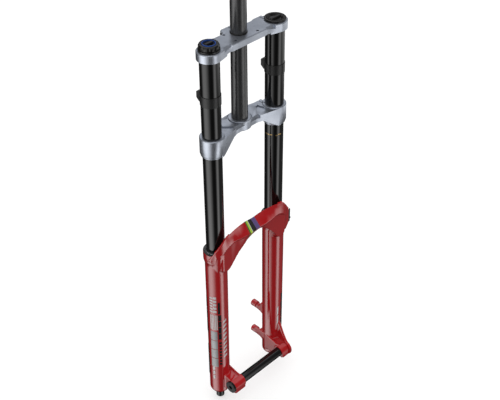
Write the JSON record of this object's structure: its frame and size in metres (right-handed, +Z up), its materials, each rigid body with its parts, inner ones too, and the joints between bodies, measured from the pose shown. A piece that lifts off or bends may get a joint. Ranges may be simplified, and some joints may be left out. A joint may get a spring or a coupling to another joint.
{
  "type": "suspension fork",
  "caption": "Dual-crown downhill bicycle suspension fork: sliding red lower legs with arch and brake posts on black stanchions, steerer, knobs and through axle.",
  "frame": {"origin": "on the steerer's axis, at the shoulder of the lower crown that the headset's crown race sits on", "axes": "+Z up the steerer, -Y to the front of the bicycle, +X to the rider's left, where the brake posts are"},
  "size_m": [0.2157, 0.0998, 0.911],
  "materials": {
    "steerer_black": "satin charcoal anodised",
    "stanchion_black": "glossy black hard anodised",
    "crown_grey": "bead-blasted blue-grey anodised",
    "casting_red": "glossy deep red paint over a magnesium casting",
    "knob_black": "black anodised",
    "dial_blue": "blue anodised",
    "alloy_bare": "machined",
    "steel_black": "black oxide",
    "steel_bright": "bright steel",
    "seal_rubber": "matte black rubber",
    "bumper_rubber": "dark rubber",
    "black_plastic": "moulded black plastic",
    "token_plastic": "grey plastic",
    "bushing_bronze": "coated bronze",
    "oil_foam": "open foam"
  },
  "bodies": {
    "chassis": {"air_cap_o_ring": "seal_rubber", "air_frame_bumper": "bumper_rubber", "air_retaining_ring": "steel_bright", "air_seal_head": "alloy_bare", "air_stanchion": "stanchion_black", "air_top_cap": "knob_black", "air_valve_stem": "alloy_bare", "compression_shims": "steel_bright", "compression_valve": "alloy_bare", "damper_cap_o_ring": "seal_rubber", "damper_cartridge": "alloy_bare", "damper_frame_bumper": "bumper_rubber", "damper_retaining_ring": "steel_bright", "damper_seal_head": "alloy_bare", "damper_stanchion": "stanchion_black", "damper_top_cap": "knob_black", "expansion_bladder": "seal_rubber", "lower_clamp_screws": "steel_black", "lower_crown": "crown_grey", "steerer_clamp_screw": "steel_black", "steerer_collar": "knob_black", "steerer_tube": "steerer_black", "top_out_bumper": "seal_rubber", "upper_clamp_screws": "steel_black", "upper_crown": "crown_grey", "volume_tokens": "token_plastic"},
    "lowers": {"lower_legs": "casting_red", "hose_guide": "black_plastic", "hose_guide_screw": "steel_black", "damper_shaft": "steel_bright", "rebound_piston": "alloy_bare", "rebound_glide_band": "black_plastic", "rebound_shims": "steel_bright", "air_shaft": "alloy_bare", "air_piston": "alloy_bare", "air_piston_seal": "seal_rubber", "bottom_out_bumper": "seal_rubber", "damper_dust_wiper": "seal_rubber", "damper_wiper_spring": "steel_bright", "damper_foam_ring": "oil_foam", "damper_upper_bushing": "bushing_bronze", "damper_lower_bushing": "bushing_bronze", "damper_foot_bolt": "steel_black", "damper_crush_washer": "alloy_bare", "air_dust_wiper": "seal_rubber", "air_wiper_spring": "steel_bright", "air_foam_ring": "oil_foam", "air_upper_bushing": "bushing_bronze", "air_lower_bushing": "bushing_bronze", "air_foot_bolt": "steel_black", "air_crush_washer": "alloy_bare"},
    "hsc_knob": {"hsc_knob": "knob_black"},
    "lsc_dial": {"lsc_dial": "dial_blue"},
    "rebound_adjuster": {"rebound_knob": "knob_black", "rebound_rod": "alloy_bare"},
    "air_valve_cap": {"air_valve_cap": "knob_black"},
    "valve_core": {"valve_core": "steel_bright"},
    "axle_collar": {"axle_collar": "knob_black"},
    "axle": {"axle": "stanchion_black"}
  },
  "joints": [
    {"name": "fork_travel", "type": "slide", "parent": "chassis", "child": "lowers", "axis": [0, 0, 1], "range_m": [0, 0.2], "stiffness_N_per_m": 9000},
    {"name": "hsc_turn", "type": "hinge", "parent": "chassis", "child": "hsc_knob", "pos_m": [-0.078, -0.0102, 0.1725], "axis": [0, 0, 1], "range_deg": [0, 120]},
    {"name": "lsc_turn", "type": "hinge", "parent": "chassis", "child": "lsc_dial", "pos_m": [-0.078, -0.0102, 0.1745], "axis": [0, 0, 1], "range_deg": [0, 330]},
    {"name": "rebound_turn", "type": "hinge", "parent": "lowers", "child": "rebound_adjuster", "pos_m": [-0.078, -0.0102, -0.635], "axis": [0, 0, 1], "range_deg": [0, 330]},
    {"name": "air_cap_lift", "type": "slide", "parent": "chassis", "child": "air_valve_cap", "axis": [0, 0, 1], "range_m": [0, 0.03]},
    {"name": "valve_press", "type": "slide", "parent": "chassis", "child": "valve_core", "axis": [0, 0, -1], "range_m": [0, 0.0012], "stiffness_N_per_m": 500},
    {"name": "axle_withdraw", "type": "slide", "parent": "lowers", "child": "axle_collar", "axis": [-1, 0, 0], "range_m": [0, 0.17]},
    {"name": "axle_turn", "type": "hinge", "parent": "axle_collar", "child": "axle", "pos_m": [0, -0.0516, -0.588], "axis": [1, 0, 0], "continuous": true}
  ]
}
